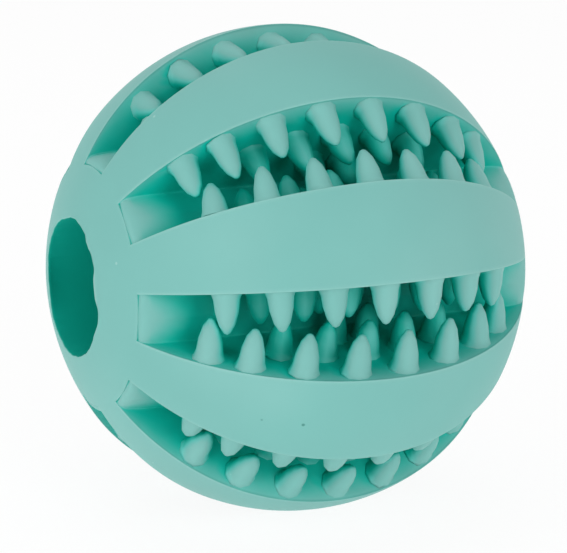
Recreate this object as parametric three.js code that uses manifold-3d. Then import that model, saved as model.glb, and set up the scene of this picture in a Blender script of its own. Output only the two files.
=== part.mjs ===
// Rubber chew ball for a dog: a bored core carries ribs, and the grooves between the ribs are lined with nubs.
// Millimetres, +Z up, X along the bore, origin at the middle of the ball.

import * as THREE from "three";
import { mergeVertices } from "three/addons/utils/BufferGeometryUtils.js";
import Module from "manifold-3d";

const wasm = await Module();
wasm.setup();

// Driving dimensions, in millimetres and degrees
const equatorRadius = 35; // the ball, square to the bore
const poleRadius = 34.3; // the ball, along the bore, before its rims are cut flat
const boreRadius = 9.7;
const rimWidth = 0.8; // flat ring round each bore mouth
const grooveCount = 8;
const grooveAngle = 21.8; // between the two walls of a groove
const floorRadius = 18.7; // groove floor, from the bore axis
const floorEndRadius = 17.1; // groove floor where it comes out at the skin
const floorEndRun = 5; // length of the ramp at each end of a floor
const nubBaseRadius = 1.95;
const nubWaistRadius = 1.5;
const nubTipLength = 1.9; // from a nub's waist to its point
const nubLength = 5.7; // in the outer row
const rowShortening = 0.5; // how much shorter the nubs of each deeper row are
const nubPitch = 13; // degrees of latitude between neighbours in a row
const nubReach = 43; // degrees of latitude that no nub lies beyond
const nubDrawIn = 3; // degrees past that reach from which an end nub is drawn in to it
const rowCount = 3;
const firstRowDepth = 2.5; // nub axes of the outer row, under the ball's skin
const rowSpacing = 5;
const stripThickness = 1.2; // backing that a wall's nubs stand on
const stripMargin = 0.5; // backing past the last nub of a row
const nubRoot = 0.6; // depth of a nub's foot in its backing
const nubLean = 7; // degrees from square to the wall, towards the bore

// Clearances
const seamGap = 0.3; // between neighbouring pieces
const nubClearance = 1.2; // from a nub to the groove floor and to the opposite wall

// Fineness of the round forms
const facetsPerGroove = 6;
const ribSteps = 13; // an odd count leaves a flat facet at the equator for the ball to rest on
const collarSteps = 3;
const nubSides = 6;
const weldDistance = 1e-4;
const overshoot = 5; // how far a cutter runs past what it cuts

// Sizes that follow from these
const radians = THREE.MathUtils.degToRad;
const groovePitch = (2 * Math.PI) / grooveCount;
const ribHalfAngle = (groovePitch - radians(grooveAngle)) / 2;
const cutterHeight = equatorRadius + overshoot;
const cutterLength = 2 * (poleRadius + overshoot);
const stripHalfLength = shellPoint(radians(nubReach), firstRowDepth).y + nubBaseRadius + stripMargin;

// Directions: a lathe turns about the bore, an extrusion runs along it, and a wall has its own axes
const alongX = new THREE.Vector3(1, 0, 0);
const alongY = new THREE.Vector3(0, 1, 0);
const alongZ = new THREE.Vector3(0, 0, 1);
const latheAboutBore = new THREE.Matrix4().makeBasis(alongZ, alongX, alongY);
const extrudeAlongBore = new THREE.Matrix4().makeBasis(alongY, alongZ, alongX);
const wallNormal = new THREE.Vector3(0, Math.cos(ribHalfAngle), -Math.sin(ribHalfAngle));
const wallRadial = new THREE.Vector3(0, Math.sin(ribHalfAngle), Math.cos(ribHalfAngle));
const wallFrame = new THREE.Matrix4().makeBasis(alongX, wallNormal, wallRadial);
const halfTurn = new THREE.Matrix4().makeRotationZ(Math.PI);
const leaning = new THREE.Matrix4().makeRotationX(radians(-nubLean));

// A point at a depth under the skin: x is its distance from the bore axis, y its place along the bore
function shellPoint(latitude, depth) {
  const fromAxis = (equatorRadius - depth) * Math.cos(latitude);
  const alongBore = (poleRadius - depth) * Math.sin(latitude);
  return new THREE.Vector2(fromAxis, alongBore);
}

// The latitude at which the skin is a given distance from the bore axis
function skinLatitude(fromAxis) {
  return Math.acos(fromAxis / equatorRadius);
}

function skinArc(start, end, steps) {
  const latitudes = Array.from({ length: steps + 1 }, (_, step) => start + ((end - start) * step) / steps);
  return latitudes.map((latitude) => shellPoint(latitude, 0));
}

// A closed mesh becomes a solid that can be cut and joined
function solidOf(geometry, placement) {
  const bare = geometry.clone();
  bare.deleteAttribute("normal");
  bare.deleteAttribute("uv");
  const welded = mergeVertices(bare.applyMatrix4(placement), weldDistance);
  const corners = welded.index.array;
  const triangles = [];
  for (let first = 0; first < corners.length; first += 3) {
    const triangle = Array.from(corners.slice(first, first + 3));
    if (new Set(triangle).size === 3) triangles.push(...triangle);
  }
  const vertProperties = Float32Array.from(welded.attributes.position.array);
  const triVerts = Uint32Array.from(triangles);
  return new wasm.Manifold(new wasm.Mesh({ numProp: 3, vertProperties, triVerts }));
}

function geometryOf(solid) {
  const mesh = solid.getMesh();
  const geometry = new THREE.BufferGeometry();
  geometry.setAttribute("position", new THREE.BufferAttribute(mesh.vertProperties, 3));
  geometry.setIndex(new THREE.BufferAttribute(mesh.triVerts, 1));
  geometry.computeVertexNormals();
  return geometry;
}

function turnedAboutBore(profile) {
  const closed = [...profile, profile[0]];
  return solidOf(new THREE.LatheGeometry(closed, facetsPerGroove * grooveCount), latheAboutBore);
}

// The level part of the groove floors, raised by a gap
function floorLine(gap) {
  const rampTop = shellPoint(skinLatitude(floorEndRadius), 0).y - floorEndRun;
  return [-rampTop, rampTop].map((alongBore) => new THREE.Vector2(floorRadius + gap, alongBore));
}

// Core: the bore, a flat rim at each mouth, the rounded collars and the floor of the grooves
function makeCore() {
  const floorEnd = skinLatitude(floorEndRadius);
  const rimEdge = skinLatitude(boreRadius + rimWidth);
  const rimHeight = shellPoint(rimEdge, 0).y;
  return turnedAboutBore([
    new THREE.Vector2(boreRadius, -rimHeight),
    ...skinArc(-rimEdge, -floorEnd, collarSteps),
    ...floorLine(0),
    ...skinArc(floorEnd, rimEdge, collarSteps),
    new THREE.Vector2(boreRadius, rimHeight),
  ]);
}

// Shell: everything between the core and the skin, from which the ribs and the backings are cut
function makeShell() {
  const footLatitude = skinLatitude(floorEndRadius + seamGap);
  const foot = floorLine(seamGap).reverse();
  return turnedAboutBore([...skinArc(-footLatitude, footLatitude, ribSteps), ...foot]);
}

// A block on the wall of a groove, from a depth inside the rib to a height above the wall
function wallBlock(halfLength, depth, height) {
  const block = new THREE.BoxGeometry(2 * halfLength, depth + height, cutterHeight);
  block.translate(0, (height - depth) / 2, cutterHeight / 2);
  return block;
}

// Rib: a wedge of the shell, centred on +Z, with a recess in each wall for the backing of its nubs
function makeRib(shell) {
  const reach = cutterHeight * Math.tan(ribHalfAngle);
  const outline = new THREE.Shape();
  outline.moveTo(0, 0);
  outline.lineTo(reach, cutterHeight);
  outline.lineTo(-reach, cutterHeight);
  outline.closePath();
  const wedge = new THREE.ExtrudeGeometry(outline, { depth: cutterLength, bevelEnabled: false });
  wedge.translate(0, 0, -cutterLength / 2);
  const recess = solidOf(wallBlock(stripHalfLength + seamGap, stripThickness + seamGap, overshoot), wallFrame);
  const oppositeRecess = recess.transform(halfTurn.toArray());
  return shell.intersect(solidOf(wedge, extrudeAlongBore)).subtract(recess).subtract(oppositeRecess);
}

function nubLengthIn(row) {
  return nubLength - row * rowShortening;
}

// Nub: a round-pointed cone that stands on y = 0, with its foot below
function makeNub(row) {
  const length = nubLengthIn(row);
  const profile = [
    new THREE.Vector2(0, -nubRoot),
    new THREE.Vector2(nubBaseRadius, -nubRoot),
    new THREE.Vector2(nubWaistRadius, length - nubTipLength),
    new THREE.Vector2(0, length),
  ];
  return new THREE.LatheGeometry(profile, nubSides);
}

// Places of a row's nubs: rows are staggered by half a pitch, and a nub is left out where it has no room
function nubPlaces(row, startsOnEquator) {
  const lowest = floorRadius + nubClearance + nubBaseRadius;
  const narrowest = (nubLengthIn(row) + nubClearance) / Math.tan(radians(grooveAngle));
  const stations = Math.ceil((nubReach + nubDrawIn) / nubPitch);
  const stagger = (row % 2 === 0) === startsOnEquator ? 0 : 0.5;
  const places = [];
  for (let station = -stations; station <= stations; station += 1) {
    const regular = (station + stagger) * nubPitch;
    const latitude = THREE.MathUtils.clamp(regular, -nubReach, nubReach);
    const place = shellPoint(radians(latitude), firstRowDepth + row * rowSpacing);
    const isNear = Math.abs(regular) <= nubReach + nubDrawIn;
    const fits = isNear && place.x >= Math.max(lowest, narrowest);
    if (fits) places.push(place);
  }
  return places;
}

// Nub strip: a slice of the rib's wall with its rows of nubs
function makeNubStrip(shell, startsOnEquator) {
  let strip = shell.intersect(solidOf(wallBlock(stripHalfLength, stripThickness, 0), wallFrame));
  for (let row = 0; row < rowCount; row += 1) {
    const nub = makeNub(row);
    for (const place of nubPlaces(row, startsOnEquator)) {
      const onWall = new THREE.Matrix4().makeTranslation(place.y, 0, place.x).multiply(leaning);
      strip = strip.add(solidOf(nub, onWall.premultiply(wallFrame)));
    }
  }
  return strip;
}

const skinRubber = new THREE.MeshStandardMaterial({ color: 0x8fc6bc, roughness: 0.55, metalness: 0 });
const coreRubber = new THREE.MeshStandardMaterial({ color: 0x86bfb4, roughness: 0.58, metalness: 0 });
const nubRubber = new THREE.MeshStandardMaterial({ color: 0x74b8ac, roughness: 0.5, metalness: 0 });

function namedMesh(name, geometry, material) {
  const mesh = new THREE.Mesh(geometry, material);
  mesh.name = name;
  return mesh;
}

const shell = makeShell();
const ribGeometry = geometryOf(makeRib(shell));
const equatorStrip = geometryOf(makeNubStrip(shell, true));
const staggeredStrip = geometryOf(makeNubStrip(shell, false));

// Opposite walls of a groove start half a pitch apart, so that their nubs pass between each other
function stripFor(groove, isLowerWall) {
  const startsOnEquator = (groove + (isLowerWall ? 1 : 0)) % 2 === 0;
  return startsOnEquator ? equatorStrip : staggeredStrip;
}

// Groove 0 faces up, and rib 1 lies between groove 0 and the next one towards the front
function ribAssembly(index) {
  const assembly = new THREE.Group();
  const number = index + 1;
  const upper = namedMesh(`nub_strip_${number}_upper`, stripFor(index, true), nubRubber);
  const lower = namedMesh(`nub_strip_${number}_lower`, stripFor(number % grooveCount, false), nubRubber);
  lower.rotation.z = Math.PI;
  assembly.add(namedMesh(`rib_${number}`, ribGeometry, skinRubber), upper, lower);
  assembly.rotation.x = (index + 0.5) * groovePitch;
  return assembly;
}

const ball = new THREE.Group();
ball.add(namedMesh("core_tube", geometryOf(makeCore()), coreRubber));
for (let index = 0; index < grooveCount; index += 1) ball.add(ribAssembly(index));

export default ball;
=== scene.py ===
"""Looks of a rubber chew ball for a dog: one mint moulding with a bore, ribs and nubbed grooves.

Metres, +Z up, X along the bore, origin at the middle of the ball. Groove 0 faces up and groove 2 the camera.
"""

import logging
import math
import random
from dataclasses import dataclass, replace
from enum import Enum
from typing import Any, Optional, Union

import bmesh
import bpy
import numpy as np
from mathutils import Matrix, Vector, noise
from mathutils.bvhtree import BVHTree


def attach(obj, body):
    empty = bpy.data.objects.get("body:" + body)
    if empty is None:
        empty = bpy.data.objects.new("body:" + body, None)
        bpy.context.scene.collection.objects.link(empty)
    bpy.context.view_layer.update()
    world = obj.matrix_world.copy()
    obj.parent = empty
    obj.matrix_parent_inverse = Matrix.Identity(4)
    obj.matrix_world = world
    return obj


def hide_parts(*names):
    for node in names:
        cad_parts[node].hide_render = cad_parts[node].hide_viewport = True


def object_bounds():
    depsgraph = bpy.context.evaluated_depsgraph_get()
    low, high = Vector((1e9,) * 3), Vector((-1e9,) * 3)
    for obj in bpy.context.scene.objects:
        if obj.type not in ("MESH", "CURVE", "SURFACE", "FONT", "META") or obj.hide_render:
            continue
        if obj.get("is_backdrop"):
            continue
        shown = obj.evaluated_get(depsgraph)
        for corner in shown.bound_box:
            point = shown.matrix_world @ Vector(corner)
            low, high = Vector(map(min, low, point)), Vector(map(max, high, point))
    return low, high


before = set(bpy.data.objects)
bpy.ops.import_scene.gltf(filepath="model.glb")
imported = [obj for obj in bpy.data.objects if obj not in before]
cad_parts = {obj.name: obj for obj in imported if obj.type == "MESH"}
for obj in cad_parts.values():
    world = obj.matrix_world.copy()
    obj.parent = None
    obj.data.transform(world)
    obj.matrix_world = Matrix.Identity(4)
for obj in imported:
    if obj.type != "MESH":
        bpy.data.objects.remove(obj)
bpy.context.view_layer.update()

LOG = logging.getLogger("chew_ball")
MM = 0.001
BODY = "root"

Value = Union["Wire", float, int, tuple, str, None]
Colour = tuple[float, float, float]
Span = tuple[float, float]


class Wire:
    """A node's output socket, whose arithmetic adds Math nodes to the same tree."""

    def __init__(self, graph: "Graph", socket: bpy.types.NodeSocket) -> None:
        """Keep the socket and the graph that it belongs to."""
        self.graph = graph
        self.socket = socket

    def _math(self, operation: str, first: Value, second: Value = None) -> "Wire":
        """Add one Math node.

        Args:
            operation: The Math node's operation.
            first: Its first value or wire.
            second: Its second value or wire, if it takes one.

        Returns:
            The node's result.
        """
        inputs = {0: first} if second is None else {0: first, 1: second}
        return self.graph.add("ShaderNodeMath", {"operation": operation}, inputs)

    def __add__(self, other: Value) -> "Wire":
        """Sum."""
        return self._math("ADD", self, other)

    def __radd__(self, other: Value) -> "Wire":
        """Sum, with the wire on the right."""
        return self._math("ADD", other, self)

    def __sub__(self, other: Value) -> "Wire":
        """Difference."""
        return self._math("SUBTRACT", self, other)

    def __rsub__(self, other: Value) -> "Wire":
        """Difference, with the wire on the right."""
        return self._math("SUBTRACT", other, self)

    def __mul__(self, other: Value) -> "Wire":
        """Product."""
        return self._math("MULTIPLY", self, other)

    def __rmul__(self, other: Value) -> "Wire":
        """Product, with the wire on the right."""
        return self._math("MULTIPLY", other, self)

    def __truediv__(self, other: Value) -> "Wire":
        """Quotient."""
        return self._math("DIVIDE", self, other)

    def __rtruediv__(self, other: Value) -> "Wire":
        """Quotient, with the wire on the right."""
        return self._math("DIVIDE", other, self)

    def __pow__(self, other: Value) -> "Wire":
        """Power."""
        return self._math("POWER", self, other)

    def __rpow__(self, other: Value) -> "Wire":
        """Power, with the wire on the right."""
        return self._math("POWER", other, self)

    def larger(self, other: Value) -> "Wire":
        """The larger of two values."""
        return self._math("MAXIMUM", self, other)

    def smaller(self, other: Value) -> "Wire":
        """The smaller of two values."""
        return self._math("MINIMUM", self, other)

    def rise(self, span: Span, kind: str = "SMOOTHSTEP") -> "Wire":
        """A smooth step.

        Args:
            span: The values at which the step leaves 0 and reaches 1.
            kind: The Map Range node's interpolation.

        Returns:
            The step, from 0 to 1.
        """
        settings = {"interpolation_type": kind}
        inputs = {"Value": self, "From Min": span[0], "From Max": span[1]}
        return self.graph.add("ShaderNodeMapRange", settings, inputs)


class Graph:
    """A node tree that is filled by one method."""

    def __init__(self, tree: bpy.types.NodeTree) -> None:
        """Keep the tree and empty it."""
        self.tree = tree
        tree.nodes.clear()

    @staticmethod
    def _pick(sockets: Any, key: Union[int, str]) -> bpy.types.NodeSocket:
        """Find a socket.

        Args:
            sockets: A node's inputs or outputs.
            key: The socket's place, or the name of one in use.

        Returns:
            The socket.
        """
        if isinstance(key, int):
            return sockets[key]
        return next(socket for socket in sockets if socket.enabled and socket.name == key)

    def add(
        self,
        kind: str,
        settings: Optional[dict[str, Any]] = None,
        inputs: Optional[dict[Union[int, str], Value]] = None,
        output: Union[int, str, None] = None,
    ) -> Wire:
        """Add a node.

        Args:
            kind: The node's type.
            settings: Its properties, which are set first.
            inputs: Its sockets' values or wires, by name or place.
            output: The output to return, by name or place, or the first one in use.

        Returns:
            The chosen output, or the last input of a node that has no output.
        """
        node = self.tree.nodes.new(kind)
        for name, value in (settings or {}).items():
            setattr(node, name, value)
        for key, value in (inputs or {}).items():
            socket = self._pick(node.inputs, key)
            if isinstance(value, Wire):
                self.tree.links.new(value.socket, socket)
            else:
                socket.default_value = value
        if not node.outputs:
            return Wire(self, node.inputs[-1])
        if output is None:
            return Wire(self, next(socket for socket in node.outputs if socket.enabled))
        return Wire(self, self._pick(node.outputs, output))

    def vector(self, operation: str, first: Value, second: Value = None) -> Wire:
        """Add one Vector Math node.

        Args:
            operation: The node's operation.
            first: Its first vector.
            second: Its second vector, or the factor of a scaling.

        Returns:
            The node's result.
        """
        inputs = {0: first}
        if second is not None:
            inputs["Scale" if operation == "SCALE" else 1] = second
        return self.add("ShaderNodeVectorMath", {"operation": operation}, inputs)

    def blend(self, factor: Value, low: Value, high: Value, mode: str = "MIX") -> Wire:
        """Mix two colours.

        Args:
            factor: How much of the second colour, from 0 to 1.
            low: The first colour.
            high: The second colour.
            mode: The Mix node's blend type.

        Returns:
            The mixed colour.
        """
        settings = {"data_type": "RGBA", "blend_type": mode}
        colours = [(*value, 1.0) if isinstance(value, tuple) else value for value in (low, high)]
        inputs = {"Factor": factor, "A": colours[0], "B": colours[1]}
        return self.add("ShaderNodeMix", settings, inputs)


@dataclass(frozen=True)
class BallSizes:
    """Main sizes of the ball, the same as the solids'."""

    equator_radius: float = 35 * MM
    pole_radius: float = 34.3 * MM
    bore_radius: float = 9.7 * MM
    floor_radius: float = 18.7 * MM
    floor_end_radius: float = 17.1 * MM
    floor_squareness: float = 12.0
    groove_count: int = 8
    groove_angle: float = math.radians(21.8)

    @property
    def groove_pitch(self) -> float:
        """Angle from one groove to the next."""
        return 2 * math.pi / self.groove_count

    @property
    def wall_angle(self) -> float:
        """Angle from the middle of a groove to its wall."""
        return self.groove_angle / 2

    @property
    def groove_end(self) -> float:
        """Latitude at which the floor of a groove comes out at the skin."""
        return self.skin_latitude(self.floor_end_radius)

    @property
    def unit_scale(self) -> tuple[float, float, float]:
        """Factors that turn the ball's skin into a sphere of radius 1."""
        return 1 / self.pole_radius, 1 / self.equator_radius, 1 / self.equator_radius

    def shell(self, latitude: float, depth: float) -> tuple[float, float]:
        """A point under the skin.

        Args:
            latitude: The angle from the equator.
            depth: The depth under the skin.

        Returns:
            The distance from the bore axis and the place along it.
        """
        from_axis = (self.equator_radius - depth) * math.cos(latitude)
        return from_axis, (self.pole_radius - depth) * math.sin(latitude)

    def skin_latitude(self, from_axis: float) -> float:
        """The latitude at which the skin is that far from the bore axis."""
        return math.acos(from_axis / self.equator_radius)

    def floor(self, latitude: float) -> float:
        """The groove floor's distance from the bore axis, which falls off roundly at the floor's ends.

        Args:
            latitude: The angle from the equator.

        Returns:
            The distance.
        """
        share = min(math.tan(abs(latitude)) / math.tan(self.groove_end), 1.0)
        return self.floor_radius - (self.floor_radius - self.floor_end_radius) * share**self.floor_squareness


class Tag(Enum):
    """Mesh attributes that the rubber's finish reads."""

    EDGE = "edge"
    BORE = "bore"
    OPEN = "open"


@dataclass(frozen=True)
class Specks:
    """Small scattered specks, one to a cell at most."""

    colour: Colour
    cells_per_metre: float
    radius_share: float
    empty_share: float
    softness: float = 0.5
    cut: float = 0.01

    def mask(self, graph: Graph, place: Wire) -> Wire:
        """Where the specks are.

        Args:
            graph: The material's graph.
            place: Object coordinates.

        Returns:
            1 in a speck and 0 elsewhere.
        """
        inputs = {"Vector": place, "Scale": self.cells_per_metre}
        cell = graph.add("ShaderNodeTexVoronoi", None, inputs, "Distance")
        chance = graph.add("ShaderNodeTexVoronoi", None, inputs, "Color")
        pick = graph.add("ShaderNodeSeparateColor", None, {0: chance}, 0)
        outside = cell.rise((self.radius_share * self.softness, self.radius_share))
        return (1.0 - outside) * pick.rise((self.empty_share, self.empty_share + self.cut))


@dataclass(frozen=True)
class RubberFinish:
    """Matt mint rubber, with painted sheen where it is open and painted shade, deeper and greener, in
    recesses.
    """

    name: str
    skin: Colour = (0.2, 0.51, 0.468)
    bloom: Colour = (0.24, 0.53, 0.492)
    # Painted shade: these three tones grow darker and greener the less open a surface is.
    mouth: Colour = (0.12, 0.6, 0.54)
    shade_tone: Colour = (0.0, 0.53, 0.43)
    deep_shade_tone: Colour = (0.0, 0.34, 0.26)
    # Painted shade inside the bore.
    bore: Colour = (0.0, 0.47, 0.37)
    # Painted highlight along edges.
    painted_glint: Colour = (0.38, 0.66, 0.62)
    # Painted shade line under each lip.
    painted_lip_shade: Colour = (0.03, 0.33, 0.28)
    dust: Specks = Specks((0.32, 0.6, 0.56), 260.0, 0.07, 0.8)
    grit: Specks = Specks((0.08, 0.3, 0.26), 190.0, 0.06, 0.88)
    # Openness spans over which the painted shade gives way to the skin's painted sheen.
    sheen_open: Span = (0.52, 0.8)
    half_shade_open: Span = (0.34, 0.6)
    shade_open: Span = (0.05, 0.3)
    # Painted light: surfaces are made paler towards the middle of the ball's length.
    middle_light_reach: float = 25 * MM
    middle_light_share: float = 0.1
    noise_middle: float = 0.5
    bloom_scale: float = 28.0
    bloom_span: Span = (0.4, 0.75)
    mottle_scale: float = 70.0
    mottle: float = 0.1
    grain_scale: float = 2600.0
    grain: float = 0.1
    grain_height: float = 0.05 * MM
    painted_glint_share: float = 0.3
    painted_lip_shade_share: float = 0.6
    roughness: float = 0.55
    roughness_mottle: float = 0.1
    roughness_grain: float = 0.08
    gloss: float = 0.25

    def make(self) -> bpy.types.Material:
        """Build the material.

        Returns:
            The material.
        """
        material = bpy.data.materials.new(self.name)
        material.use_nodes = True
        graph = Graph(material.node_tree)
        place = graph.add("ShaderNodeTexCoord", output="Object")
        mottle = self._noise(graph, place, self.mottle_scale) - self.noise_middle
        grain = self._noise(graph, place, self.grain_scale) - self.noise_middle
        roughness = mottle * self.roughness_mottle + grain * self.roughness_grain + self.roughness
        bump_inputs = {"Strength": self.grain, "Distance": self.grain_height, "Height": grain}
        inputs = {
            "Base Color": self._colour(graph, place, mottle),
            "Roughness": roughness,
            "Specular IOR Level": self.gloss,
            "Normal": graph.add("ShaderNodeBump", None, bump_inputs),
        }
        shader = graph.add("ShaderNodeBsdfPrincipled", None, inputs)
        graph.add("ShaderNodeOutputMaterial", None, {"Surface": shader})
        return material

    def _colour(self, graph: Graph, place: Wire, mottle: Wire) -> Wire:
        """The rubber's colour: painted shade and sheen by openness, painted light and edge marks, unevenness
        and specks.

        Args:
            graph: The material's graph.
            place: Object coordinates.
            mottle: Broad noise about 0.

        Returns:
            The colour.
        """
        # Painted light: openness is raised towards the middle of the ball's length.
        along_bore = graph.add("ShaderNodeSeparateXYZ", None, {0: place}, "X") / self.middle_light_reach
        painted_middle_light = (1.0 - along_bore * along_bore).larger(0.0)
        openness = self._tag(graph, Tag.OPEN) + painted_middle_light * self.middle_light_share
        bloom = self._noise(graph, place, self.bloom_scale).rise(self.bloom_span)
        # Painted sheen on open surfaces and painted shade in recesses, set by openness.
        skin_and_sheen = graph.blend(bloom, self.skin, self.bloom)
        colour = graph.blend(openness.rise(self.shade_open), self.deep_shade_tone, self.shade_tone)
        colour = graph.blend(openness.rise(self.half_shade_open), colour, self.mouth)
        colour = graph.blend(openness.rise(self.sheen_open), colour, skin_and_sheen)
        # Painted shade inside the bore.
        colour = graph.blend(self._tag(graph, Tag.BORE), colour, self.bore)
        edge = self._tag(graph, Tag.EDGE)
        # Painted highlight along edges.
        colour = graph.blend(edge.larger(0.0) * self.painted_glint_share, colour, self.painted_glint)
        # Painted shade line under each lip.
        colour = graph.blend((0.0 - edge).larger(0.0) * self.painted_lip_shade_share, colour, self.painted_lip_shade)
        shade = mottle * self.mottle + 1.0
        tint = graph.add("ShaderNodeCombineColor", None, {0: shade, 1: shade, 2: shade})
        colour = graph.blend(1.0, colour, tint, "MULTIPLY")
        for specks in (self.dust, self.grit):
            colour = graph.blend(specks.mask(graph, place), colour, specks.colour)
        return colour

    @staticmethod
    def _tag(graph: Graph, tag: Tag) -> Wire:
        """One of the mesh's own attributes, which is 0 where the mesh has none."""
        return graph.add("ShaderNodeAttribute", {"attribute_name": tag.value}, output="Fac")

    @staticmethod
    def _noise(graph: Graph, place: Wire, scale: float) -> Wire:
        """Noise on Object coordinates, from 0 to 1."""
        return graph.add("ShaderNodeTexNoise", None, {"Vector": place, "Scale": scale}, 0)


class Mouth(Enum):
    """The two ends of the bore, each with its own trimmed edge."""

    RIGHT = 0
    LEFT = 1


@dataclass(frozen=True)
class Nick:
    """A place where the trimmed edge of a bore mouth leaves its circle, inwards or, below 0, outwards."""

    middle: float
    half_width: float
    inward: float
    squareness: int = 4

    def offset(self, angles: np.ndarray) -> np.ndarray:
        """How far the edge moves out at each angle about the bore."""
        away = np.degrees(np.angle(np.exp(1j * (angles - math.radians(self.middle)))))
        return -self.inward * np.exp(-(np.abs(away / self.half_width) ** self.squareness))


@dataclass(frozen=True)
class TrimStep:
    """How much of a trimmed edge's offset shows at a distance back from it, where it is cut or stands out."""

    back: float
    cut: float
    flash: float


@dataclass(frozen=True)
class MouthRing:
    """One ring of a bore mouth's outline."""

    from_axis: float
    along: float
    cut: float
    flash: float
    bore: float = 0.0
    edge: float = 0.0

    def reach(self, offset: np.ndarray) -> np.ndarray:
        """Distances from the bore axis, for a trimmed edge that is that far off its circle."""
        return self.from_axis + self.cut * np.maximum(offset, 0) + self.flash * np.minimum(offset, 0)


@dataclass
class Section:
    """Half a groove and half a rib: angles from the groove's middle, depths under the skin, and edge marks.

    An edge mark is 1 where a painted highlight runs along an edge and -1 where a painted shade line runs
    under a lip.
    """

    angles: np.ndarray
    depths: np.ndarray
    edges: np.ndarray

    def ring(self, count: int) -> "Section":
        """Carry the section all the way round the bore.

        Args:
            count: The number of grooves.

        Returns:
            The whole ring.
        """
        turns = np.arange(count) * 2 * math.pi / count
        pitch = np.concatenate([-self.angles[:0:-1], self.angles[:-1]])
        angles = (turns[:, None] + pitch[None, :]).reshape(-1)
        depths, edges = (
            np.tile(np.concatenate([values[:0:-1], values[:-1]]), count)
            for values in (self.depths, self.edges)
        )
        return Section(angles, depths, edges)

    @staticmethod
    def joined(parts: list["Section"]) -> "Section":
        """Join stretches of a section, in order from the groove's middle."""
        columns = zip(*((part.angles, part.depths, part.edges) for part in parts))
        return Section(*(np.concatenate(column) for column in columns))


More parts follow.
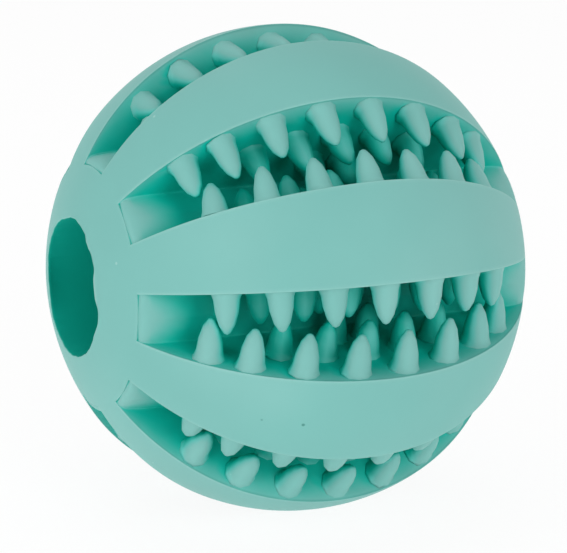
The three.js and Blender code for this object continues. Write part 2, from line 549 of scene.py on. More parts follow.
@dataclass
class MouldedBody:
    """The core, the ribs and the groove walls, as the one smooth moulding that they are."""

    sizes: BallSizes
    # The moulding's own painted shade tones and openness spans.
    finish: RubberFinish = RubberFinish(
        "mint_rubber_body",
        mouth=(0.1, 0.52, 0.455),
        half_shade_open=(0.38, 0.66),
        sheen_open=(0.58, 0.84),
    )
    name: str = "ball_moulding"
    lip_radius: float = 0.12 * MM
    glint_width: float = 0.12 * MM
    floor_fillet: float = 0.3 * MM
    end_step: float = 0.05 * MM
    corner_drop: float = 0.12 * MM
    end_run: float = 0.06 * MM
    rim_width: float = 0.2 * MM
    rim_round: float = 0.15 * MM
    most_round: float = 0.45
    seam_height: float = 0.1 * MM
    seam_width: float = 0.3 * MM
    seam_fade: float = 1 * MM
    skin_trims: tuple[TrimStep, ...] = (
        TrimStep(math.radians(1.2), 0.2, 0.0),
        TrimStep(math.radians(0.4), 0.7, 0.1),
    )
    rim_trim: TrimStep = TrimStep(0.0, 1.0, 0.25)
    edge_trim: TrimStep = TrimStep(0.0, 1.0, 1.0)
    bore_trims: tuple[TrimStep, ...] = (
        TrimStep(0.5 * MM, 0.75, 0.75),
        TrimStep(1.2 * MM, 0.3, 0.3),
        TrimStep(3.0 * MM, 0.0, 0.0),
    )
    ragged: float = 0.05 * MM
    ragged_waves: tuple[int, ...] = (5, 8, 13, 21, 34)
    ragged_share: Span = (0.3, 1.0)
    left_nicks: tuple[Nick, ...] = (
        Nick(76, 13, 1.05 * MM),
        Nick(37, 6, 0.4 * MM),
        Nick(15, 22, -0.45 * MM),
        Nick(101, 9, -0.45 * MM),
        Nick(-100, 22, 0.5 * MM),
    )
    right_nicks: tuple[Nick, ...] = (
        Nick(-60, 14, 0.6 * MM),
        Nick(20, 9, -0.4 * MM),
        Nick(150, 18, 0.4 * MM),
    )
    wobble: float = 0.09 * MM
    wobble_scale: float = 55.0
    weld: float = 0.002 * MM
    seed: int = 11
    floor_steps: int = 5
    fillet_steps: int = 3
    wall_steps: int = 13
    lip_steps: int = 4
    skin_steps: int = 7
    rim_steps: int = 3
    bore_steps: int = 14
    floor_crowding: float = 1.5
    wall_crowding: float = 1.5
    skin_crowding: float = 2.0
    end_near: float = math.radians(3)
    end_close: float = math.radians(0.25)
    mouth_gap: float = math.radians(2)
    rib_rows: int = 34
    ramp_rows: int = 8
    step_rows: int = 12
    collar_edge_rows: int = 5
    collar_rows: int = 6

    def build(self) -> bpy.types.Object:
        """Make the moulding's mesh.

        Returns:
            The object, at the origin.
        """
        skin = [self._skin_row(latitude) for latitude in self._latitudes()]
        points, edges, bores = (np.array(values) for values in zip(*skin, *self._mouth_rows()))
        row_count, column_count = points.shape[:2]
        index = np.arange(row_count * column_count).reshape(row_count, column_count)
        ahead = np.roll(index, -1, axis=0)
        quads = np.stack([index, np.roll(index, -1, 1), np.roll(ahead, -1, 1), ahead], axis=-1)
        mesh = bpy.data.meshes.new(self.name)
        mesh.from_pydata(points.reshape(-1, 3).tolist(), [], quads.reshape(-1, 4).tolist())
        for tag, values in ((Tag.EDGE, edges), (Tag.BORE, bores)):
            attribute = mesh.attributes.new(tag.value, "FLOAT", "POINT")
            attribute.data.foreach_set("value", values.astype(np.float32).ravel())
        self._settle(mesh)
        piece = bpy.data.objects.new(self.name, mesh)
        bpy.context.scene.collection.objects.link(piece)
        return piece

    def dress(self, piece: bpy.types.Object) -> None:
        """Give the moulding its rubber and its place in the frame.

        Args:
            piece: The moulding.
        """
        piece.data.materials.append(self.finish.make())
        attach(piece, BODY)
        ribs = [f"rib_{number}" for number in range(1, self.sizes.groove_count + 1)]
        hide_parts("core_tube", *ribs)

    @property
    def _rim_latitude(self) -> float:
        """Latitude of the skin's edge at a bore mouth."""
        return self.sizes.skin_latitude(self.sizes.bore_radius + self.rim_width)

    def _latitudes(self) -> np.ndarray:
        """Choose the rows on the skin, which are close together where the grooves end.

        Returns:
            The rows' latitudes, from the left mouth to the right one.
        """
        end = self.sizes.groove_end
        near, close = self.end_near, self.end_close
        half = np.concatenate([
            np.linspace(0, end - near, self.rib_rows, endpoint=False),
            np.linspace(end - near, end - close, self.ramp_rows, endpoint=False),
            np.linspace(end - close, end + close, self.step_rows, endpoint=False),
            np.linspace(end + close, end + near, self.collar_edge_rows, endpoint=False),
            np.linspace(end + near, self._rim_latitude - self.mouth_gap, self.collar_rows),
        ])
        return np.concatenate([-half[:0:-1], half])

    def _floor_depth(self, latitude: float, share: np.ndarray) -> np.ndarray:
        """Depth of the groove floor, which dips towards its corners and ends in a slight step up to the skin.

        Args:
            latitude: Where the section is taken.
            share: Places across the floor, from 0 in its middle to 1 at its corner.

        Returns:
            Depths under the skin.
        """
        sizes = self.sizes
        floor = sizes.floor(latitude) - self.end_step - self.corner_drop * share**2
        depth = np.maximum(sizes.equator_radius - floor / math.cos(latitude), 0)
        past = (abs(latitude) - sizes.groove_end) * sizes.equator_radius / self.end_run
        return depth * min(max(1 - past, 0), 1)

    def _end_glint(self, latitude: float) -> float:
        """Painted highlight along a groove's end."""
        past = (abs(latitude) - self.sizes.groove_end) * self.sizes.equator_radius / self.glint_width
        return math.exp(-past * past) if past > 0 else 0.0

    def _section(self, latitude: float) -> Section:
        """Draw the outline from the middle of a groove to the middle of a rib.

        Args:
            latitude: Where the section is taken.

        Returns:
            The outline.
        """
        corner = float(self._floor_depth(latitude, np.ones(1))[0])
        lip = min(self.lip_radius, self.most_round * corner)
        fillet = min(self.floor_fillet, self.most_round * corner)
        # How strong the painted highlight on the lip, and the painted shade line under it, are.
        painted_glint = min(1.0, corner / self.lip_radius)
        floor = self._floor_part(latitude, corner, fillet)
        wall = self._wall_part(latitude, floor.depths[-1], fillet, lip, painted_glint)
        skin = self._skin_part(latitude, wall.angles[-1], painted_glint)
        return Section.joined([floor, wall, skin])

    def _floor_part(self, latitude: float, corner: float, fillet: float) -> Section:
        """Draw the groove floor, which has the mould's seam along its middle.

        Args:
            latitude: Where the section is taken.
            corner: The depth of the floor's corner.
            fillet: The radius of the fillet there.

        Returns:
            The outline up to the fillet.
        """
        reach = (self.sizes.equator_radius - corner) * math.cos(latitude)
        flat_share = 1 - fillet / reach / self.sizes.wall_angle
        share = np.linspace(0, 1, self.floor_steps + 1) ** self.floor_crowding * flat_share
        angles = share * self.sizes.wall_angle
        depths = self._floor_depth(latitude, share)
        seam = self.seam_height * np.exp(-((angles * reach / self.seam_width) ** 2))
        depths -= seam * min(1.0, depths[0] / self.seam_fade)
        return Section(angles, depths, np.full(len(share), self._end_glint(latitude)))

    def _wall_part(self, latitude: float, foot: float, fillet: float, lip: float, painted_glint: float) -> Section:
        """Draw the groove wall, with the fillet at its foot and the rounded lip at its top.

        Args:
            latitude: Where the section is taken.
            foot: The depth of the wall's foot.
            fillet: The fillet's radius.
            lip: The lip's radius.
            painted_glint: How strong the lip's painted highlight and the painted shade line under it are,
                from 0 to 1.

        Returns:
            The outline from the fillet to the skin.
        """
        turn = np.linspace(0, math.pi / 2, self.fillet_steps + 1)[1:]
        fillet_side = -fillet * (1 - np.sin(turn))
        fillet_depth = foot - fillet * (1 - np.cos(turn))
        climb = 1 - np.linspace(1, 0, self.wall_steps + 1)[1:] ** self.wall_crowding
        wall_depth = foot - fillet + climb * (lip - foot + fillet)
        turn = np.linspace(0, math.pi / 2, self.lip_steps + 1)[1:]
        sides = np.concatenate([fillet_side, np.zeros(self.wall_steps), lip * (1 - np.cos(turn))])
        depths = np.concatenate([fillet_depth, wall_depth, lip * (1 - np.sin(turn))])
        reach = (self.sizes.equator_radius - depths) * math.cos(latitude)
        clean = np.zeros(self.fillet_steps + self.wall_steps - 1)
        # A painted shade line just under the lip, and a painted highlight over its rounding.
        edges = np.concatenate([clean, np.full(1, -painted_glint), painted_glint * (2 * np.sin(turn) - 1)])
        return Section(self.sizes.wall_angle + sides / reach, depths, edges)

    def _skin_part(self, latitude: float, lip_angle: float, painted_glint: float) -> Section:
        """Draw the skin of half a rib.

        Args:
            latitude: Where the section is taken.
            lip_angle: The angle of the groove's lip.
            painted_glint: How strong the lip's painted highlight is, from 0 to 1.

        Returns:
            The outline from the lip to the rib's middle.
        """
        across = np.linspace(0, 1, self.skin_steps + 1)[1:] ** self.skin_crowding
        angles = lip_angle + across * (self.sizes.groove_pitch / 2 - lip_angle)
        from_lip = (angles - lip_angle) * self.sizes.equator_radius * math.cos(latitude)
        # Painted highlight on the skin beside the lip.
        edges = painted_glint * np.exp(-((from_lip / self.glint_width) ** 2))
        return Section(angles, np.zeros(self.skin_steps), edges)

    def _skin_row(self, latitude: float) -> tuple[np.ndarray, np.ndarray, np.ndarray]:
        """Make one ring of the outside, across every groove and rib.

        Args:
            latitude: Where the ring lies.

        Returns:
            The ring's points, edge marks and bore share.
        """
        ring = self._section(latitude).ring(self.sizes.groove_count)
        from_axis = (self.sizes.equator_radius - ring.depths) * math.cos(latitude)
        along = (self.sizes.pole_radius - ring.depths) * math.sin(latitude)
        points = np.stack([along, -from_axis * np.sin(ring.angles), from_axis * np.cos(ring.angles)], axis=-1)
        return points, ring.edges, np.zeros_like(ring.edges)

    def _mouth_outline(self) -> list[MouthRing]:
        """Draw the right mouth's outline from the skin into the bore.

        Returns:
            The outline's rings.
        """
        bore = self.sizes.bore_radius
        face = self.sizes.shell(self._rim_latitude, 0)[1]
        rings = []
        for trim in self.skin_trims:
            from_axis, along = self.sizes.shell(self._rim_latitude - trim.back, 0)
            rings.append(MouthRing(from_axis, along, trim.cut, trim.flash))
        rings.append(MouthRing(bore + self.rim_width, face, self.rim_trim.cut, self.rim_trim.flash))
        for turn in np.linspace(0, math.pi / 2, self.rim_steps + 1):
            sine, cosine = math.sin(turn), math.cos(turn)
            from_axis = bore + self.rim_round * (1 - sine)
            along = face - self.rim_round * (1 - cosine)
            trim = self.edge_trim
            # The rounded rim carries a painted highlight.
            rings.append(MouthRing(from_axis, along, trim.cut, trim.flash, sine * sine, cosine))
        for trim in self.bore_trims:
            rings.append(MouthRing(bore, face - trim.back, trim.cut, trim.flash, 1.0))
        return rings

    def _mouth_rows(self) -> list[tuple[np.ndarray, np.ndarray, np.ndarray]]:
        """Make the rings from the right mouth through the bore to the left mouth.

        Returns:
            Each ring's points, edge marks and bore share.
        """
        right = self._mouth_outline()
        inner = right[-1].along
        places = np.linspace(inner, -inner, self.bore_steps)[1:-1]
        bore = [MouthRing(self.sizes.bore_radius, along, 0.0, 0.0, 1.0) for along in places]
        left = [replace(ring, along=-ring.along) for ring in reversed(right)]
        angles = self._section(self._rim_latitude).ring(self.sizes.groove_count).angles
        offsets = {mouth: self._trimmed_edge(angles, mouth) for mouth in Mouth}
        rows = []
        for ring in right + bore + left:
            reach = ring.reach(offsets[Mouth.RIGHT if ring.along > 0 else Mouth.LEFT])
            along = np.full_like(angles, ring.along)
            points = np.stack([along, -reach * np.sin(angles), reach * np.cos(angles)], axis=-1)
            rows.append((points, np.full_like(angles, ring.edge), np.full_like(angles, ring.bore)))
        return rows

    def _trimmed_edge(self, angles: np.ndarray, mouth: Mouth) -> np.ndarray:
        """The hand-trimmed edge of a bore mouth, as offsets from its true circle.

        Args:
            angles: The ring's angles.
            mouth: The mouth.

        Returns:
            The offset at each angle.
        """
        draw = random.Random(self.seed + mouth.value)
        offset = np.zeros_like(angles)
        for waves in self.ragged_waves:
            height = self.ragged * draw.uniform(*self.ragged_share)
            offset += height * np.sin(waves * angles + draw.uniform(0, math.tau))
        for nick in self.right_nicks if mouth is Mouth.RIGHT else self.left_nicks:
            offset += nick.offset(angles)
        return offset

    def _settle(self, mesh: bpy.types.Mesh) -> None:
        """Join the rings where the grooves have run out, and give the mould its slight unevenness.

        Args:
            mesh: The moulding's mesh.
        """
        shape = bmesh.new()
        shape.from_mesh(mesh)
        bmesh.ops.remove_doubles(shape, verts=shape.verts, dist=self.weld)
        noise.seed_set(self.seed)
        for vertex in shape.verts:
            vertex.co += noise.noise_vector(vertex.co * self.wobble_scale) * self.wobble
        for face in shape.faces:
            face.smooth = True
        shape.to_mesh(mesh)
        shape.free()
        mesh.update()


class Wall(Enum):
    """The two walls of a groove, as turns about the bore from its middle."""

    UPPER = -1
    LOWER = 1


@dataclass(frozen=True)
class RowSlip:
    """How far the moulded rows on one groove wall sit off their regular places."""

    groove: int
    wall: Wall
    deeper: float = 0.0
    along: float = 0.0


@dataclass
class NubRows:
    """Rows of pointed nubs that stand on every groove wall."""

    sizes: BallSizes
    # The nubs' painted shade is darker than the moulding's.
    finish: RubberFinish = RubberFinish("mint_rubber_nubs", shade_tone=(0.0, 0.5, 0.4), deep_shade_tone=(0.0, 0.3, 0.22))
    name: str = "groove_nubs"
    base_radius: float = 1.88 * MM
    length: float = 5.7 * MM
    row_shortening: float = 0.5 * MM
    roundness: float = 2.0
    bluntness: float = 0.54
    foot_flare: float = 0.55 * MM
    foot_height: float = 0.22
    foot_sink: float = 0.12 * MM
    skin_margin: float = 0.22 * MM
    pitch: float = math.radians(13)
    reach: float = math.radians(43)
    draw_in: float = math.radians(3)
    row_count: int = 3
    first_row_depth: float = 2.5 * MM
    row_spacing: float = 5.0 * MM
    row_shift: float = -0.3 * MM
    slips: tuple[RowSlip, ...] = (
        RowSlip(0, Wall.UPPER, deeper=0.7 * MM),
        RowSlip(0, Wall.LOWER, deeper=0.8 * MM),
        RowSlip(1, Wall.UPPER, deeper=-0.3 * MM),
        RowSlip(3, Wall.UPPER, deeper=-0.4 * MM),
        RowSlip(3, Wall.LOWER, along=0.6 * MM),
    )
    clearance: float = 1.2 * MM
    inward_lean: float = math.radians(7)
    side_lean: float = math.radians(3.5)
    lean: float = 0.05
    uneven: float = 0.04
    sides: int = 10
    rings: int = 6
    ring_crowding: float = 1.1
    weld: float = 0.001 * MM
    seed: int = 4

    def build(self) -> bpy.types.Object:
        """Make every nub of the ball.

        Returns:
            The object, at the origin.
        """
        places, normals, stretches = self._stand_points()
        points = bpy.data.meshes.new(self.name + "_points")
        points.from_pydata(places, [], [])
        facing = points.attributes.new("facing", "FLOAT_VECTOR", "POINT")
        facing.data.foreach_set("vector", np.array(normals, np.float32).ravel())
        stretch = points.attributes.new("stretch", "FLOAT", "POINT")
        stretch.data.foreach_set("value", np.array(stretches, np.float32))
        holder = bpy.data.objects.new(self.name + "_points", points)
        bpy.context.scene.collection.objects.link(holder)
        self._grow(holder)
        evaluated = holder.evaluated_get(bpy.context.evaluated_depsgraph_get())
        mesh = bpy.data.meshes.new_from_object(evaluated)
        bpy.data.objects.remove(holder)
        mesh.name = self.name
        piece = bpy.data.objects.new(self.name, mesh)
        bpy.context.scene.collection.objects.link(piece)
        LOG.info("%d nubs", len(places))
        return piece

    def dress(self, piece: bpy.types.Object) -> None:
        """Give the nubs their place in the frame; their rubber comes with their mesh.

        Args:
            piece: The nubs.
        """
        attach(piece, BODY)
        numbers = range(1, self.sizes.groove_count + 1)
        strips = [f"nub_strip_{number}_{wall.name.lower()}" for number in numbers for wall in Wall]
        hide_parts(*strips)

    def _stations(self, starts_on_equator: bool) -> list[tuple[float, float, float]]:
        """Places of the nubs on one wall, in staggered rows, with none where it has no room.

        Args:
            starts_on_equator: Whether the outer row has a nub on the equator.

        Returns:
            Distances from the bore axis, places along it, and the nubs' lengths.
        """
        lowest = self.sizes.floor_radius + self.clearance + self.base_radius
        furthest = self.reach + self.draw_in
        count = math.ceil(furthest / self.pitch)
        places = []
        for row in range(self.row_count):
            length = self.length - row * self.row_shortening
            narrowest = (length + self.clearance) / math.tan(self.sizes.groove_angle)
            stagger = 0.0 if (row % 2 == 0) == starts_on_equator else 0.5
            for station in range(-count, count + 1):
                regular = (station + stagger) * self.pitch
                latitude = min(max(regular, -self.reach), self.reach)
                from_axis, along = self.sizes.shell(latitude, self.first_row_depth + row * self.row_spacing)
                if abs(regular) <= furthest and from_axis >= max(lowest, narrowest):
                    places.append((from_axis, along, length))
        return places

    def _slip(self, groove: int, wall: Wall) -> RowSlip:
        """The slip of the rows on one wall, which most walls don't have."""
        found = (slip for slip in self.slips if slip.groove == groove and slip.wall is wall)
        return next(found, RowSlip(groove, wall))

    def _stand_points(self) -> tuple[list[Vector], list[Vector], list[float]]:
        """Lay out every nub.

        Returns:
            Points that the nubs stand on, the directions that they point in, and their relative lengths.
        """
        places, normals, stretches = [], [], []
        for groove in range(self.sizes.groove_count):
            for wall in Wall:
                turn = groove * self.sizes.groove_pitch + wall.value * self.sizes.wall_angle
                radial = Vector((0, -math.sin(turn), math.cos(turn)))
                normal = Vector((0, math.cos(turn), math.sin(turn))) * wall.value
                facing = normal + Vector((math.tan(self.side_lean), 0, 0))
                slip = self._slip(groove, wall)
                starts_on_equator = (groove + (wall is Wall.LOWER)) % 2 == 0
                for from_axis, along, length in self._stations(starts_on_equator):
                    along_bore = Vector((along + self.row_shift + slip.along, 0, 0))
                    places.append(radial * (from_axis - slip.deeper) + along_bore - normal * self.foot_sink)
                    normals.append(facing)
                    stretches.append(length / self.length)
        return places, normals, stretches

    def _grow(self, holder: bpy.types.Object) -> None:
        """Stand a nub on every point of an object, by a tree of geometry nodes.

        Args:
            holder: The object that holds the points.
        """
        tree = bpy.data.node_groups.new("nub_rows", "GeometryNodeTree")
        sockets = {
            "Points": ("NodeSocketGeometry", None),
            "Base Radius": ("NodeSocketFloat", self.base_radius),
            "Length": ("NodeSocketFloat", self.length),
            "Roundness": ("NodeSocketFloat", self.roundness),
            "Bluntness": ("NodeSocketFloat", self.bluntness),
            "Foot Flare": ("NodeSocketFloat", self.foot_flare),
            "Foot Height": ("NodeSocketFloat", self.foot_height),
            "Inward Lean": ("NodeSocketFloat", math.tan(self.inward_lean)),
            "Skin Limit": ("NodeSocketFloat", 1 - self.skin_margin / self.sizes.equator_radius),
            "Sides": ("NodeSocketInt", self.sides),
            "Rings": ("NodeSocketInt", self.rings),
            "Seed": ("NodeSocketInt", self.seed),
            "Rubber": ("NodeSocketMaterial", self.finish.make()),
        }
        identifiers = {}
        for label, (kind, _) in sockets.items():
            identifiers[label] = tree.interface.new_socket(label, in_out="INPUT", socket_type=kind).identifier
        tree.interface.new_socket("Nubs", in_out="OUTPUT", socket_type="NodeSocketGeometry")
        self._wire_tree(Graph(tree), list(sockets))
        modifier = holder.modifiers.new("nub_rows", "NODES")
        modifier.node_group = tree
        for label, (_, value) in sockets.items():
            if value is not None:
                modifier[identifiers[label]] = value

    def _wire_tree(self, graph: Graph, labels: list[str]) -> None:
        """Fill the tree: shape one nub, stand a copy on each point, and make them one mesh.

        Args:
            graph: The tree's graph.
            labels: The names of the tree's inputs.
        """
        source = graph.tree.nodes.new("NodeGroupInput")
        given = {label: Wire(graph, source.outputs[label]) for label in labels}
        nub = self._wire_nub(graph, given)
        points = graph.add("GeometryNodeMeshToPoints", None, {"Mesh": given["Points"]})
        copies = {"Points": points, "Instance": nub}
        copies["Rotation"] = self._wire_rotation(graph, given)
        copies["Scale"] = self._wire_scale(graph, given)
        nubs = graph.add("GeometryNodeInstanceOnPoints", None, copies)
        nubs = graph.add("GeometryNodeRealizeInstances", None, {"Geometry": nubs})
        place = graph.add("GeometryNodeInputPosition")
        reach = graph.vector("LENGTH", graph.vector("MULTIPLY", place, self.sizes.unit_scale))
        held = graph.vector("SCALE", place, (given["Skin Limit"] / reach).smaller(1.0))
        nubs = graph.add("GeometryNodeSetPosition", None, {"Geometry": nubs, "Position": held})
        nubs = graph.add("GeometryNodeSetMaterial", None, {"Geometry": nubs, "Material": given["Rubber"]})
        graph.add("NodeGroupOutput", None, {"Nubs": nubs})

    def _wire_nub(self, graph: Graph, given: dict[str, Wire]) -> Wire:
        """Shape one nub from a tube: a bullet on a flared foot, standing on the origin and leaning to +Y.

        Args:
            graph: The tree's graph.
            given: The tree's inputs, by name.

        Returns:
            The nub.
        """
        ends = (-0.5, 0.5)
        tube_inputs = {"Vertices": given["Sides"], "Side Segments": given["Rings"]}
        tube_inputs |= {"Radius": 1.0, "Depth": ends[1] - ends[0]}
        tube = graph.add("GeometryNodeMeshCylinder", {"fill_type": "NGON"}, tube_inputs, "Mesh")
        is_side = Wire(graph, tube.socket.node.outputs["Side"])
        place = graph.add("GeometryNodeInputPosition")
        across = graph.add("ShaderNodeSeparateXYZ", None, {0: place}, "X")
        along = graph.add("ShaderNodeSeparateXYZ", None, {0: place}, "Y")
        level = graph.add("ShaderNodeSeparateXYZ", None, {0: place}, "Z")
        height = level.rise(ends, "SMOOTHERSTEP") ** self.ring_crowding
        bullet = (1.0 - height ** given["Roundness"]).larger(0.0) ** given["Bluntness"]
        drop = (1.0 - height / given["Foot Height"]).larger(0.0)
        flare = 1.0 - (1.0 - drop * drop).larger(0.0) ** 0.5
        radius = given["Base Radius"] * bullet + given["Foot Flare"] * flare
        rise = height * given["Length"]
        moved = {0: across * radius, 1: along * radius + rise * given["Inward Lean"], 2: rise}
        spot = graph.add("ShaderNodeCombineXYZ", None, moved)
        nub = graph.add("GeometryNodeSetPosition", None, {"Geometry": tube, "Position": spot})
        nub = graph.add("GeometryNodeMergeByDistance", None, {"Geometry": nub, "Distance": self.weld})
        return graph.add("GeometryNodeSetShadeSmooth", None, {"Geometry": nub, "Shade Smooth": is_side})

    def _wire_rotation(self, graph: Graph, given: dict[str, Wire]) -> Wire:
        """Turn each nub to its wall and its leaning side to the bore, with a slight lean of its own.

        Args:
            graph: The tree's graph.
            given: The tree's inputs, by name.

        Returns:
            Each point's rotation.
        """
        vectors = {"data_type": "FLOAT_VECTOR"}
        facing = graph.add("GeometryNodeInputNamedAttribute", vectors, {"Name": "facing"})
        upright = graph.add("FunctionNodeAlignRotationToVector", {"axis": "Z"}, {"Vector": facing})
        inward = graph.vector("MULTIPLY", graph.add("GeometryNodeInputPosition"), (0.0, -1.0, -1.0))
        inward_settings = {"axis": "Y", "pivot_axis": "Z"}
        inward_inputs = {"Rotation": upright, "Vector": inward}
        upright = graph.add("FunctionNodeAlignRotationToVector", inward_settings, inward_inputs)
        lean_inputs = {"Min": (-self.lean,) * 3, "Max": (self.lean,) * 3, "Seed": given["Seed"]}
        lean = graph.add("FunctionNodeRandomValue", vectors, lean_inputs)
        lean = graph.add("FunctionNodeEulerToRotation", None, {0: lean})
        turned = {"Rotation": upright, "Rotate By": lean}
        return graph.add("FunctionNodeRotateRotation", {"rotation_space": "LOCAL"}, turned)

    def _wire_scale(self, graph: Graph, given: dict[str, Wire]) -> Wire:
        """Stretch each nub to its row's length, with a slight difference of its own.

        Args:
            graph: The tree's graph.
            given: The tree's inputs, by name.

        Returns:
            Each point's scale.
        """
        stretch = graph.add("GeometryNodeInputNamedAttribute", {"data_type": "FLOAT"}, {"Name": "stretch"})
        row_scale = graph.add("ShaderNodeCombineXYZ", None, {0: 1.0, 1: 1.0, 2: stretch})
        least, most = 1 - self.uneven, 1 + self.uneven
        own_inputs = {"Min": (least,) * 3, "Max": (most,) * 3, "Seed": given["Seed"] + 1}
        own_scale = graph.add("FunctionNodeRandomValue", {"data_type": "FLOAT_VECTOR"}, own_inputs)
        return graph.vector("MULTIPLY", row_scale, own_scale)


@dataclass
class Shelter:
    """How open each point of the ball is to its surroundings, as the share of rays that leave it freely; the
    painted shade follows it.
    """

    sizes: BallSizes
    ray_count: int = 80
    reach: float = 100 * MM
    lift: float = 0.02 * MM
    skin_depth: float = 0.12 * MM
    skin_slope: float = 0.9
    most_crossings: int = 3
    smoothing: int = 1

    def mark(self, pieces: list[bpy.types.Object]) -> None:
        """Store the openness of every vertex, from 0 to 1, on the pieces' meshes.

        Args:
            pieces: All the pieces, which shelter each other.
        """
        tree = self._tree(pieces)
        rays = self._rays()
        for piece in pieces:
            shares = np.array([self._openness(tree, vertex, rays) for vertex in piece.data.vertices])
            for _ in range(self.smoothing):
                shares = self._smoothed(piece.data, shares)
            attribute = piece.data.attributes.new(Tag.OPEN.value, "FLOAT", "POINT")
            attribute.data.foreach_set("value", shares.astype(np.float32))

    def _openness(self, tree: BVHTree, vertex: bpy.types.MeshVertex, rays: list[Vector]) -> float:
        """Find how open one vertex is; on the skin it is wholly so.

        Args:
            tree: The faces of all the pieces.
            vertex: The vertex.
            rays: Directions all round.

        Returns:
            Its openness, from 0 to 1.
        """
        unit = vertex.co * Vector(self.sizes.unit_scale)
        depth = (1 - unit.length) * self.sizes.equator_radius
        if depth < self.skin_depth and vertex.normal.dot(unit) > self.skin_slope:
            return 1.0
        return self._share(tree, vertex.co, vertex.normal, rays)

    @staticmethod
    def _tree(pieces: list[bpy.types.Object]) -> BVHTree:
        """Gather the faces of all the pieces for the rays to meet.

        Args:
            pieces: The pieces.

        Returns:
            Their faces.
        """
        places, faces = [], []
        for piece in pieces:
            first = len(places)
            places.extend(vertex.co.copy() for vertex in piece.data.vertices)
            faces.extend([first + corner for corner in face.vertices] for face in piece.data.polygons)
        return BVHTree.FromPolygons(places, faces)

    def _rays(self) -> list[Vector]:
        """Spread directions evenly over a sphere, on a spiral.

        Returns:
            The directions.
        """
        golden = math.pi * (3 - math.sqrt(5))
        rays = []
        for number in range(self.ray_count):
            height = 1 - (2 * number + 1) / self.ray_count
            level = math.sqrt(1 - height * height)
            turn = golden * number
            rays.append(Vector((level * math.cos(turn), level * math.sin(turn), height)))
        return rays

    def _share(self, tree: BVHTree, place: Vector, normal: Vector, rays: list[Vector]) -> float:
        """Find the share of rays that leave a point freely, each counted by how steeply it leaves.

        Args:
            tree: The faces of all the pieces.
            place: The point.
            normal: The surface's direction there.
            rays: Directions all round.

        Returns:
            The share, from 0 to 1.
        """
        start = place + normal * self.lift
        total = free = 0.0
        for ray in rays:
            weight = ray.dot(normal)
            if weight > 0:
                total += weight
                if not self._is_blocked(tree, start, ray):
                    free += weight
        return free / total

    def _is_blocked(self, tree: BVHTree, start: Vector, ray: Vector) -> bool:
        """Tell whether a ray meets the outside of a surface; it passes through an inside.

        Args:
            tree: The faces of all the pieces.
            start: The ray's start.
            ray: Its direction.

        Returns:
            Whether it is stopped.
        """
        for _ in range(self.most_crossings):
            place, normal, _, _ = tree.ray_cast(start, ray, self.reach)
            if place is None:
                return False
            if normal.dot(ray) < 0:
                return True
            start = place + ray * self.lift
        return False

    @staticmethod
    def _smoothed(mesh: bpy.types.Mesh, shares: np.ndarray) -> np.ndarray:
        """Average each vertex's value with its neighbours'.

        Args:
            mesh: The piece's mesh.
            shares: The vertices' values.

        Returns:
            The averaged values.
        """
        ends = np.empty(2 * len(mesh.edges), np.int32)
        mesh.edges.foreach_get("vertices", ends)
        first, second = ends[0::2], ends[1::2]
        total = shares.copy()
        count = np.ones_like(shares)
        for here, there in ((first, second), (second, first)):
            np.add.at(total, here, shares[there])
            np.add.at(count, here, 1)
        return total / count


@dataclass(frozen=True)
class Lamp:
    """A soft square lamp that faces the ball."""

    name: str
    place: tuple[float, float, float]
    size: float
    power: float

    def hang(self) -> None:
        """Add the lamp to the scene."""
        data = bpy.data.lights.new(self.name, "AREA")
        data.shape = "SQUARE"
        data.size = self.size
        data.energy = self.power
        lamp = bpy.data.objects.new(self.name, data)
        lamp.location = self.place
        lamp.rotation_euler = (-Vector(self.place)).to_track_quat("-Z", "Y").to_euler()
        bpy.context.scene.collection.objects.link(lamp)


@dataclass(frozen=True)
class Camera:
    """A long lens at the photograph's angle."""

    azimuth: float = math.radians(-25.29)
    elevation: float = math.radians(15.56)
    roll: float = math.radians(1.65)
    distance: float = 429.5 * MM
    lens: float = 189.3
    aim: tuple[float, float, float] = (-0.35 * MM, -0.23 * MM, -1.29 * MM)
    clip_start: float = 10 * MM

    def place(self) -> None:
        """Add the camera and make it the scene's."""
        data = bpy.data.cameras.new("camera")
        data.lens = self.lens
        data.clip_start = self.clip_start
        camera = bpy.data.objects.new("camera", data)
        level = math.cos(self.elevation)
        back = Vector((
            math.sin(self.azimuth) * level,
            -math.cos(self.azimuth) * level,
            math.sin(self.elevation),
        ))
        turn = back.to_track_quat("Z", "Y").to_matrix() @ Matrix.Rotation(self.roll, 3, "Z")
        camera.matrix_world = Matrix.Translation(Vector(self.aim) + back * self.distance) @ turn.to_4x4()
        bpy.context.scene.collection.objects.link(camera)
        bpy.context.scene.camera = camera


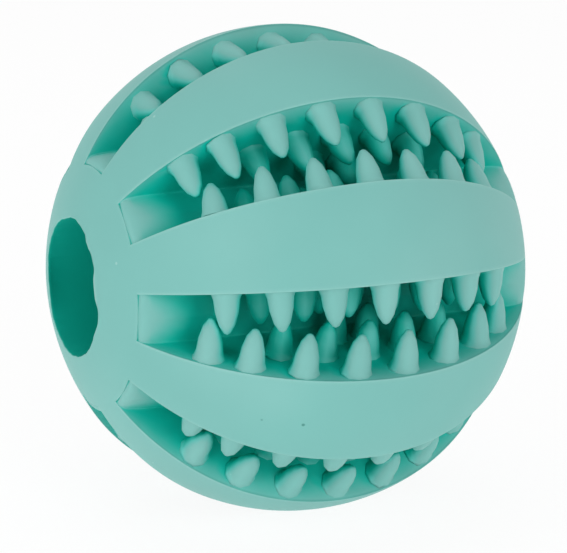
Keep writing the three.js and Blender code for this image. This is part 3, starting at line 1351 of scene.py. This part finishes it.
@dataclass
class Studio:
    """A pale light table, even white light from all round and soft lamps."""

    floor_level: float
    floor_reach: float = 6.0
    floor_colour: Colour = (0.95, 0.95, 0.95)
    floor_sheer: float = 0.4
    floor_glow: float = 0.8
    surround: float = 0.42
    lamps: tuple[Lamp, ...] = (
        Lamp("key_lamp", (0.18, -0.92, 0.36), 0.5, 2.75),
        Lamp("rim_lamp", (-0.84, -0.24, 0.18), 0.8, 3.5),
        Lamp("top_lamp", (0.0, 0.3, 0.95), 0.8, 2.0),
        Lamp("table_lamp", (0.0, 0.0, -0.6), 1.2, 3.5),
    )

    def build(self) -> bpy.types.Object:
        """Set up the world, the lamps and the floor.

        Returns:
            The floor.
        """
        self._light_world()
        for lamp in self.lamps:
            lamp.hang()
        bpy.context.scene.view_settings.view_transform = "Standard"
        return self._lay_floor()

    @staticmethod
    def _seen(graph: Graph) -> Wire:
        """Find the rays that show the background itself: from the camera, a gloss or a clear piece.

        Args:
            graph: The world's or the floor's graph.

        Returns:
            1 for such a ray and 0 for others.
        """
        camera = graph.add("ShaderNodeLightPath", output="Is Camera Ray")
        gloss = graph.add("ShaderNodeLightPath", output="Is Glossy Ray")
        clear = graph.add("ShaderNodeLightPath", output="Is Transmission Ray")
        return camera.larger(gloss).larger(clear)

    def _light_world(self) -> None:
        """Make the world white to the eye, and even and plain as a light."""
        world = bpy.data.worlds.new("studio")
        world.use_nodes = True
        bpy.context.scene.world = world
        graph = Graph(world.node_tree)
        strength = self._seen(graph) * (1.0 - self.surround) + self.surround
        inputs = {"Color": (1.0, 1.0, 1.0, 1.0), "Strength": strength}
        light = graph.add("ShaderNodeBackground", None, inputs)
        graph.add("ShaderNodeOutputWorld", None, {"Surface": light})

    def _lay_floor(self) -> bpy.types.Object:
        """Make the floor, white to the eye but for the ball's shadow.

        Returns:
            The floor.
        """
        reach = self.floor_reach
        corners = [(-reach, -reach), (reach, -reach), (reach, reach), (-reach, reach)]
        mesh = bpy.data.meshes.new("floor")
        mesh.from_pydata([(x, y, self.floor_level) for x, y in corners], [], [(0, 1, 2, 3)])
        material = bpy.data.materials.new("floor_white")
        material.use_nodes = True
        graph = Graph(material.node_tree)
        colour = (*self.floor_colour, 1.0)
        matt = graph.add("ShaderNodeBsdfDiffuse", None, {"Color": colour})
        sheer = graph.add("ShaderNodeBsdfTranslucent", None, {"Color": colour})
        matt = graph.add("ShaderNodeMixShader", None, {0: self.floor_sheer, 1: matt, 2: sheer})
        glow = graph.add("ShaderNodeEmission", None, {"Strength": 1.0})
        factor = self._seen(graph) * self.floor_glow
        surface = graph.add("ShaderNodeMixShader", None, {0: factor, 1: matt, 2: glow})
        graph.add("ShaderNodeOutputMaterial", None, {"Surface": surface})
        mesh.materials.append(material)
        floor = bpy.data.objects.new("floor", mesh)
        bpy.context.scene.collection.objects.link(floor)
        floor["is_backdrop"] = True
        return floor


def main() -> None:
    """Build the ball and the studio round it."""
    logging.basicConfig(level=logging.INFO, format="%(name)s: %(message)s")
    sizes = BallSizes()
    pieces = []
    for part in (MouldedBody(sizes), NubRows(sizes)):
        piece = part.build()
        part.dress(piece)
        pieces.append(piece)
        LOG.info("%s: %d faces", piece.name, len(piece.data.polygons))
    Shelter(sizes).mark(pieces)
    Camera().place()
    floor = Studio(floor_level=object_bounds()[0].z).build()
    LOG.info("%s at %.2f mm", floor.name, floor.data.vertices[0].co.z / MM)


if __name__ == "__main__":
    main()
